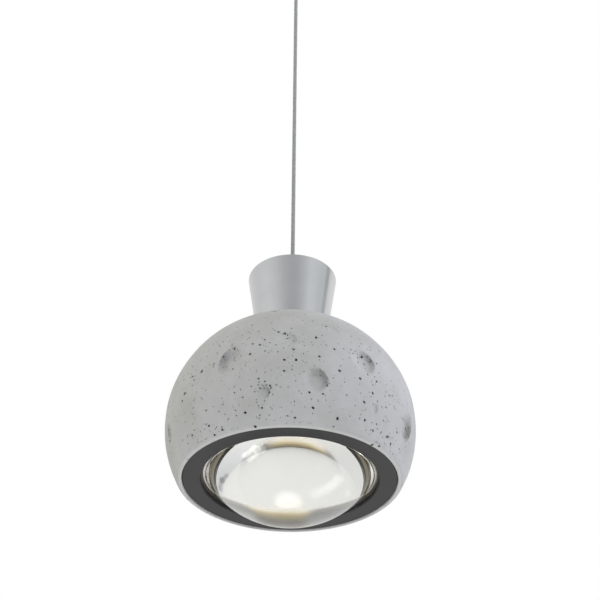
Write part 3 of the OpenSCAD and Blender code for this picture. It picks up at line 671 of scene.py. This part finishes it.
def globe_profile():
    """The globe's closed section: fine outer arcs first, then the lip, recess and cavity."""
    rim_reach = SIDE_ARC_R - RIM_ROUND
    rim_z = RIM_ROUND - RIM_DROP
    rim_x = SIDE_ARC_X + math.sqrt(rim_reach**2 - rim_z**2)
    rim_slope, lip_slope = math.asin(rim_z / rim_reach), 0.16 - math.pi / 2
    seat_slope = math.acos(NECK_FOOT_R / CAP_ARC_R)
    outer = arc((0, CAP_ARC_Z), CAP_ARC_R, seat_slope, ARC_SLOPE, 24)[:-1]
    outer += arc((SIDE_ARC_X, 0), SIDE_ARC_R, ARC_SLOPE, rim_slope, 130)[:-1]
    outer += arc((rim_x, rim_z), RIM_ROUND, rim_slope, lip_slope, 9)
    inner_r, inner_cap = SIDE_ARC_R - GLOBE_WALL, CAP_ARC_R - GLOBE_WALL
    open_r, recess_r = SKIRT_R + 0.6 * MM, RING_R + 0.3 * MM
    seat_z = SEAT_Z + PLAY - MID_Z
    wall_z = max(-math.sqrt(inner_r**2 - (open_r - SIDE_ARC_X) ** 2), -RIM_DROP / 2)
    rest = rounded(
        [
            (recess_r, -RIM_DROP + 0.05 * MM, 0), (recess_r, seat_z, 0.3 * MM),
            (open_r, seat_z, 0.4 * MM), (open_r, wall_z, 0),
        ]
    )
    top_z = outer[0][1]
    boss_z = top_z - GLOBE_WALL
    cavity = arc((SIDE_ARC_X, 0), inner_r, math.asin(wall_z / inner_r), ARC_SLOPE, 14)[1:]
    cavity += arc((0, CAP_ARC_Z), inner_cap, ARC_SLOPE, math.acos(BOSS_R / inner_cap), 6)[1:]
    top = [(BOSS_R, boss_z), (TUBE_GAP_R, boss_z), (TUBE_GAP_R, top_z), (NECK_FOOT_R - 1 * MM, top_z)]
    return outer + rest + cavity + top


def refine(work, centres, cuts):
    """Subdivides the faces near the given (place, radius) pairs, found through a grid of cells."""
    width = 12 * MM

    def cell_of(at):
        return tuple(round(c / width) for c in at)

    cells = {}
    for face in work.faces:
        centre = face.calc_center_median()
        cells.setdefault(cell_of(centre), []).append((centre, face))
    near = set()
    for place_at, radius in centres:
        x, y, z = cell_of(place_at)
        for step in product((-1, 0, 1), repeat=3):
            for centre, face in cells.get((x + step[0], y + step[1], z + step[2]), ()):
                if (centre - place_at).length < radius:
                    near.add(face)
    edges = {edge for face in near for edge in face.edges}
    bmesh.ops.subdivide_edges(work, edges=list(edges), cuts=cuts, use_grid_fill=True)


def crater_list():
    """The photograph's craters, and more of their kind round the back."""
    rng = random.Random(7)
    craters = list(CRATERS)
    slopes, widths = (33, -13, 11, 42, -3, 22, -15), (16, 10, 13)
    steep_sides = (20, 45, 150, 120, 75, -25, 200)
    # Longitudes round the back
    first, last, count = 100, 260, 13
    for i in range(count):
        longitude = first + i * (last - first) / (count - 1)
        wide = widths[i % 3]
        tall, lean = wide * rng.uniform(0.85, 1.25), rng.uniform(-40, 40)
        depth, steep = wide * rng.uniform(0.12, 0.16), rng.choice(steep_sides)
        craters.append((longitude, slopes[i % 7], wide, tall, lean, depth, steep))
    return craters


def held(value, low, high):
    """A value kept between two others."""
    return min(high, max(low, value))


def pore_list(craters):
    """Open pores, each a longitude, a slope and a diameter in mm: the photograph's and random ones."""
    rng = random.Random(11)
    pores = [(lon, slope, size * PORE_UNIT) for lon, slope, size in PORES]
    # A fringe on each deep crater's steep edge
    for lon, slope, wide, tall, _, depth, steep in craters:
        for _ in range(round(2.4 * depth - 2)):
            way = math.radians(steep + rng.uniform(-65, 65))
            reach = rng.uniform(0.42, 0.5) * MM
            turn = lon + math.degrees(wide * reach * math.cos(way) / GLOBE_R)
            lift = slope + math.degrees(tall * reach * math.sin(way) / SIDE_ARC_R)
            pores.append((turn, lift, rng.uniform(0.6, 1.1)))
    for lon, slope, wide, count in CROWDS:
        for _ in range(count):
            turn, lift = rng.gauss(lon, wide), rng.gauss(slope, wide * 0.7)
            pores.append((turn, held(lift, LOWEST_PORE, HIGHEST_CROWD), rng.uniform(0.5, 1.05)))
    # The back and the clusters are spread evenly by height, which is the sine of the slope
    for _ in range(BACK_PORES):
        slope = math.degrees(math.asin(rng.uniform(-0.5, 0.72)))
        pores.append((rng.uniform(72, 288), slope, rng.uniform(0.7, 1.7)))
    for _ in range(CLUSTERS):
        lon, slope = rng.uniform(-180, 180), math.degrees(math.asin(rng.uniform(-0.53, 0.75)))
        for _ in range(rng.choice((2, 3, 4, 6))):
            turn, lift = lon + rng.gauss(0, 4.5), slope + rng.gauss(0, 3.5)
            pores.append((turn, held(lift, LOWEST_PORE, HIGHEST_CLUSTER), rng.uniform(0.5, 0.9)))
    for lon, slope, wide, count in TIGHT_CROWDS:
        for _ in range(count):
            pores.append((rng.gauss(lon, wide), rng.gauss(slope, wide * 0.5), rng.uniform(0.6, 1.15)))
    for _ in range(TOP_PORES):
        pores.append((rng.uniform(-180, 180), rng.uniform(42, 69), rng.uniform(0.6, 1.4)))
    return pores


def make_globe():
    """The cast globe: outline, craters with one steep side, open pores and a hand-cast waviness."""
    mesh = lathe("concrete_globe_cast", globe_profile(), GLOBE_SIDES)
    craters = crater_list()
    crater_at = [(surface_frame(*crater[:2]), crater[2:]) for crater in craters]
    pore_at = [(surface_frame(lon, slope), size * MM / 2) for lon, slope, size in pore_list(craters)]
    work = bmesh.new()
    work.from_mesh(mesh)
    # Faces are cut in two each way under the craters, then in four each way under the pores
    refine(work, [(at[0], max(wide, tall) * 0.62 * MM) for at, (wide, tall, *_) in crater_at], 1)
    refine(work, [(at[0], radius * 1.9 + 0.3 * MM) for at, radius in pore_at], 3)
    # Layers of painted shade: inside the open pores and on the crater walls
    pore_layer = work.verts.layers.float.new("pore")
    shade_layer = work.verts.layers.float.new("shade")
    places = np.array([v.co for v in work.verts])
    normals = outline_normals(places)
    drop = np.zeros(len(places))
    outside = on_outside(places)
    work.verts.ensure_lookup_table()
    for at, crater in crater_at:
        near, dark = crater_dent(places, drop, at, *crater)
        darken(work, shade_layer, near, dark)
    for at, radius in pore_at:
        near, black = pore_dent(places, drop, at, radius)
        darken(work, pore_layer, near, black)
    # The waviness of a hand-made mould
    for i in np.nonzero(outside)[0]:
        at = Vector(places[i])
        wave = noise.noise(at * 45) * 0.18 * MM + noise.noise(at * 160) * 0.04 * MM
        drop[i] = max(0, drop[i] + 0.1 * MM + wave)
    drop[~outside] = 0
    for vert, place_at, normal, d in zip(work.verts, places, normals, drop):
        vert.co = Vector(place_at - normal * d) + Vector((0, 0, MID_Z))
    work.to_mesh(mesh)
    work.free()
    mesh.shade_smooth()
    new_object("concrete_globe_cast", mesh, "head", FINISH["concrete"], "concrete_globe", slot="concrete")


def on_outside(places):
    """Which places lie on the fine outer arcs, clear of the neck's seat and the lip."""
    x = np.hypot(places[:, 0], places[:, 1])
    z = places[:, 2]
    slack, lip_gap, neck_gap = 0.05 * MM, 0.4 * MM, 0.3 * MM
    side = np.hypot(x - SIDE_ARC_X, z) > SIDE_ARC_R - slack
    side &= z > RIM_ROUND + lip_gap - RIM_DROP
    cap = np.hypot(x, z - CAP_ARC_Z) > CAP_ARC_R - slack
    cap &= x > NECK_FOOT_R + neck_gap
    return np.where(np.arctan2(z, x - SIDE_ARC_X) > ARC_SLOPE, cap, side)


def outline_normals(places):
    """The smooth outline's outward normal at each place."""
    flat = np.stack([places[:, 0], places[:, 1]], -1)
    x = np.maximum(np.linalg.norm(flat, axis=1), 1e-9)
    z = places[:, 2]
    slope = np.arctan2(z, x - SIDE_ARC_X)
    cap = slope > ARC_SLOPE
    across = np.where(cap, x, x - SIDE_ARC_X)
    along = np.where(cap, z - CAP_ARC_Z, z)
    length = np.maximum(np.hypot(across, along), 1e-9)
    return np.stack([flat[:, 0] / x * across / length, flat[:, 1] / x * across / length, along / length], -1)


def smooth(t):
    """A soft step from 0 to 1 over the values 0 to 1."""
    t = np.clip(t, 0, 1)
    return t * t * (3 - 2 * t)


def places_near(places, at, reach):
    """The places within reach of a spot: their indices, and how far right and up of it they are."""
    centre, right, up = at
    off = places - np.array(centre)
    near = np.nonzero(np.linalg.norm(off, axis=1) < reach)[0]
    return near, off[near] @ np.array(right), off[near] @ np.array(up)


def darken(work, layer, near, values):
    """Raises a layer of the mesh to the given values where it is below them."""
    for i, value in zip(near, values):
        vert = work.verts[i]
        vert[layer] = max(vert[layer], float(value))


def crater_dent(places, drop, at, wide, tall, lean, depth, steep):
    """Adds one crater, an uneven oval that is steep on one side, and returns the painted shade on its walls.
    """
    near, s, t = places_near(places, at, max(wide, tall) * MM)
    turn = math.radians(lean)
    a = (s * math.cos(turn) + t * math.sin(turn)) / (wide / 2 * MM)
    b = (-s * math.sin(turn) + t * math.cos(turn)) / (tall / 2 * MM)
    near_at = [Vector(places[i]) for i in near]
    ragged = [noise.noise(p * 260) * 0.10 + noise.noise(p * 900) * 0.05 for p in near_at]
    rho = np.hypot(a, b) + np.array(ragged)
    towards = np.cos(np.arctan2(t, s) - math.radians(steep))
    # The wall takes 0.2 of the radius on its steep side and 0.92 of it on the other
    run = 0.20 + 0.72 * (1 - towards) / 2
    drop[near] += depth * MM * smooth((1 - rho) / run)
    # Painted shade: it darkens towards the steep side, most of all close to the edge
    inward = rho * towards
    dark = 0.5 * smooth((inward + 0.1) / 1.0) + 0.5 * smooth((inward - 0.7) / 0.25)
    return near, dark * smooth((1.07 - rho) / 0.09) * min(1, depth / DARKEST_DEPTH)


def pore_dent(places, drop, at, radius):
    """Adds one open pore, a small round hole, and returns the painted shade inside it."""
    near, s, t = places_near(places, at, 5 * radius)
    way = np.arctan2(t, s)
    uneven = 1 + 0.14 * np.sin(2 * way + at[0].x * 9000) + 0.08 * np.sin(3 * way + at[0].z * 7000)
    rho = np.hypot(s, t) / (radius * uneven)
    drop[near] += 1.1 * radius * smooth((1.15 - rho) / 0.6)
    # Painted shade inside the pore: a set share for wide pits, and more for smaller ones as they widen
    black = WIDE_PIT_SHADE if radius >= WIDE_PIT_R else min(1, 0.25 + (radius / MM - 0.25) * 1.8)
    return near, black * smooth((1.12 - rho) / 0.45)


# ---- neck, ring, lens and reflector ----

def make_neck():
    """The neck's thin turned shell, with a flat top."""
    wall, top_t, bore_r = 1.6 * MM, 3 * MM, 5.05 * MM
    foot, top = NECK_LO.z, NECK_HI.z
    top_r = NECK_HI.x
    lean = (top_r - NECK_FOOT_R) / (top - foot)
    profile = rounded(
        [
            (NECK_FOOT_R - wall, foot, 0.2 * MM), (NECK_FOOT_R, foot, 0.25 * MM), (top_r, top, 0.9 * MM),
            (bore_r, top, 0.2 * MM), (bore_r, top - top_t, 0.2 * MM),
            (NECK_FOOT_R - wall + lean * (top - top_t - foot), top - top_t, 0.2 * MM),
        ]
    )
    finish = metal("aluminium_spun", (0.68, 0.70, 0.72), 0.2, groove=5000, depth=0.002 * MM, wear=0.02)
    mesh = lathe("neck_turned", profile, NECK_SIDES)
    new_object("neck_turned", mesh, "head", finish, "neck_cone", slot="satin_aluminium")


def make_ring():
    """The trim ring: coated below and at its edge, with bare threads on its skirt that glow with painted
    light.
    """
    bevel, edge = 0.5 * MM, 0.4 * MM
    skirt_top = SEAT_Z + FLANGE_T + 7 * MM
    inner = BARREL_R + 0.05 * MM
    profile = rounded(
        [
            (RING_OPEN_R, SEAT_Z, 0.1 * MM), (RING_OPEN_R, FACE_Z + bevel, 0.2 * MM),
            (RING_OPEN_R + bevel, FACE_Z, 0.2 * MM), (RING_R - edge, FACE_Z, 0.2 * MM),
            (RING_R, FACE_Z + edge, 0.2 * MM), (RING_R, SEAT_Z, 0.1 * MM), (SKIRT_R, SEAT_Z, 0.1 * MM),
            (SKIRT_R, skirt_top, 0.1 * MM), (inner, skirt_top, 0.1 * MM), (inner, SEAT_Z, 0.1 * MM),
        ]
    )
    mesh = lathe("trim_ring_coated", profile, RING_SIDES)
    new_object("trim_ring_coated", mesh, "ring", FINISH["dark_paint"], "trim_ring", slot="dark_paint")
    second_finish(mesh, bare_threads_painted_glow(), lambda centre: centre.z > SEAT_Z - 0.05 * MM)


def make_lens():
    """The lens: a flat back, a flange with painted shade on its underside and a deep dome, as one solid."""
    back, under = SEAT_Z + FLANGE_T - PLAY, SEAT_Z + PLAY
    dome_r = (DOME_FOOT_R**2 + DOME_H**2) / (2 * DOME_H)
    dome_z = SEAT_Z - DOME_H + dome_r
    foot = math.atan2(under - dome_z, DOME_FOOT_R)
    clear_r = DOME_FOOT_R + 1.3 * MM
    flange = rounded(
        [
            (0, back, 0), (LENS_R, back, 0.5 * MM), (LENS_R, under, 0.5 * MM), (clear_r, under, 0),
            (DOME_FOOT_R, under, 0),
        ]
    )
    profile = flange + arc((0, dome_z), dome_r, foot, -math.pi / 2, 90)[1:]
    profile[-1] = (0, profile[-1][1])
    mesh = lathe("lens_glass", profile, LENS_SIDES, closed=False)
    new_object("lens_glass", mesh, "lens", FINISH["lens_glass"], "glass_lens", slot="lens_glass")
    # Painted shade: a dark finish on the flange's underside, beyond the clear ring round the dome
    black = plastic(
        "lens_edge_painted_shade", (0.085, 0.080, 0.072), (0.13, 0.125, 0.11), 0.35, 900, Specular_IOR_Level=0.3
    )
    second_finish(
        mesh, black, lambda centre: abs(centre.z - under) < 0.02 * MM and centre.xy.length > clear_r
    )


def make_reflector():
    """The white bowl behind the lens, with its flange on the gasket."""
    wall, gap, ledge, skin = 3 * MM, 0.3 * MM, 2.5 * MM, 1.2 * MM
    holder_z, low_z = MID_Z - 6 * MM, SEAT_Z + FLANGE_T + 1 * MM
    low_r = BARREL_R - wall - ledge - skin - gap
    high_r, rim_r = 14 * MM, BARREL_R - wall - gap
    rise, curve, side_skin = 40, 1.6, skin * 0.7
    bowl = [
        (high_r + (low_r - high_r) * i / rise, holder_z - (holder_z - low_z - skin) * (i / rise) ** curve)
        for i in range(rise + 1)
    ]
    flange = [(low_r, low_z), (rim_r, low_z), (rim_r, low_z + skin), (low_r + side_skin, low_z + skin)]
    outer = [(x + side_skin, min(z + skin, holder_z)) for x, z in reversed(bowl)]
    mesh = lathe("reflector_bowl", bowl + flange + outer, BOWL_SIDES)
    new_object("reflector_bowl", mesh, "head", bowl_enamel_painted_light(), "reflector", slot="reflector_white")


# ---- studio ----

def make_floor():
    """A pale floor far below, fading to the white backdrop. Only the camera sees it."""
    bpy.ops.mesh.primitive_grid_add(
        x_subdivisions=8, y_subdivisions=8, size=FLOOR_WIDTH, location=(0, 0, FLOOR_Z)
    )
    floor = bpy.context.object
    floor.name = "floor"
    floor.visible_glossy = floor.visible_transmission = floor.visible_diffuse = False
    material, tree, shader = new_material("floor_pale", Roughness=0.8, Emission_Strength=1.0)
    at = place(tree)
    far = spread(tree, distance(tree, at), FADE_START, FADE_END)
    tone = mix(tree, grain(tree, at, 1.5, 3, 0.5), (0.90, 0.90, 0.90), (0.94, 0.94, 0.94))
    colour(tree, shader, mix(tree, far, tone, (0.0, 0.0, 0.0)))
    glow(tree, shader, mix(tree, far, (0.18, 0.18, 0.18), (1.0, 1.0, 1.0)))
    floor.data.materials.append(material)


def area_light(name, x, y, up, size, power, tint):
    """A soft box aimed at the globe's middle, for matte surfaces. Shiny ones show the surround."""
    at, aim = Vector((x, y, MID_Z + up)), Vector((0, 0, MID_Z))
    data = bpy.data.lights.new(name, "AREA")
    data.shape, data.size, data.energy, data.color = "SQUARE", size, power, tint
    lamp = bpy.data.objects.new(name, data)
    lamp.location = at
    lamp.rotation_euler = (aim - at).to_track_quat("-Z", "Y").to_euler()
    lamp.visible_glossy = lamp.visible_transmission = False
    bpy.context.scene.collection.objects.link(lamp)


# What the studio shows to the object round the horizon: degrees from the camera's side, and level
SURROUND = (
    (-180, 0.84), (-107, 0.73), (-69, 0.77), (-45, 0.70), (-22, 0.56), (-4, 0.49), (12, 0.50),
    (30, 0.62), (48, 0.78), (66, 0.74), (84, 0.66), (124, 0.84), (180, 0.84),
)
# Soft spots of light and shade on it: heading, height and reach in degrees, and the level added
SPOTS = (
    (104, 30, 10, -0.38), (179, -39.5, 7.8, 0.235), (180, -53, 9, -0.5), (110, -44.5, 4.5, 0.3),
    (120, -50, 4.5, 0.25), (-76, -45, 7, 5), (-67, -46, 7, 7), (-58, -46, 7, 9), (-49, -48, 6, 5),
    (-150, -19, 4, 0.12), (-153, -23, 4.5, 0.13), (-156, -27, 4.5, 0.14), (-160, -31, 4.5, 0.12),
    (-165, -34, 4.5, 0.10), (-138, -28, 5, 0.09), (80, -19, 5, -0.40), (83, -25, 4, -0.25),
    (76, -15, 4, -0.2), (72, -12, 4.5, -0.25),
)
# Soft boxes: name, place from the globe's middle and size in metres, watts and tint
LAMPS = (
    ("light_left", -1.6, 0.3, 0.9, 1.4, 6.5, (1.0, 1.0, 0.74)),
    ("light_right", 1.6, 0.2, 0.6, 1.4, 13, (0.80, 0.82, 1.0)),
    ("light_low", 0.7, -1.3, -1.2, 1.3, 9.5, (0.92, 0.93, 1.0)),
    ("light_top", 0.1, -1.1, 1.6, 1.2, 8, (1.0, 1.0, 0.99)),
)


def heading_way(heading, height):
    """The direction of a heading and a height in degrees."""
    a, e = math.radians(heading), math.radians(height)
    return Vector((math.sin(a) * math.cos(e), -math.cos(a) * math.cos(e), math.sin(e)))


def make_studio():
    """White all round for the camera. What lights the object is bright at the sides and dim in front."""
    bpy.context.scene.view_settings.view_transform = "Standard"
    world = bpy.data.worlds.new("studio")
    bpy.context.scene.world = world
    world.use_nodes = True
    tree = world.node_tree
    tree.nodes.clear()
    out = add(tree, "ShaderNodeTexCoord").outputs["Generated"]
    way = add(tree, "ShaderNodeSeparateXYZ", {0: out}).outputs
    # A little warm at the left and behind, and a little cool at the right
    tint = mix(tree, spread(tree, way[0], -0.8, 0.8), (1.0, 1.0, 0.975), (0.985, 0.99, 1.0))
    tint = mix(tree, spread(tree, way[1], 0.1, 0.6), tint, (1.0, 0.995, 0.955))
    heading = maths(tree, "ARCTAN2", way[0], maths(tree, "MULTIPLY", way[1], -1.0))
    level = ramp(
        tree, spread(tree, heading, -math.pi, math.pi, smooth=False),
        [(degrees / 360 + 0.5, (grey, grey, grey)) for degrees, grey in SURROUND],
    )
    for heading_at, height, reach, more in SPOTS:
        near = along_way(tree, out, heading_way(heading_at, height))
        level = maths(tree, "ADD", level, spread(tree, near, math.cos(math.radians(reach)), 1, 0, more))
    light = scaled(tree, tint, level)
    seen = add(tree, "ShaderNodeLightPath").outputs["Is Camera Ray"]
    surround = add(tree, "ShaderNodeBackground", {"Color": light, "Strength": 1.0})
    backdrop = add(tree, "ShaderNodeBackground", {"Color": (1, 1, 1, 1), "Strength": 1.0})
    both = add(tree, "ShaderNodeMixShader", {0: seen, 1: surround.outputs[0], 2: backdrop.outputs[0]})
    add(tree, "ShaderNodeOutputWorld", {0: both.outputs[0]})
    for lamp in LAMPS:
        area_light(*lamp)


make_camera()
FINISH["cord_braid"] = braid()
make_cord()
FINISH.update(
    concrete=concrete(), dark_paint=paint(), lens_glass=glass(),
    reflector_white=plastic("reflector_plain", (0.84, 0.84, 0.82), (0.88, 0.88, 0.87), 0.35),
)
dress_nodes()
make_globe()
make_neck()
make_ring()
make_lens()
make_reflector()
make_floor()
make_studio()
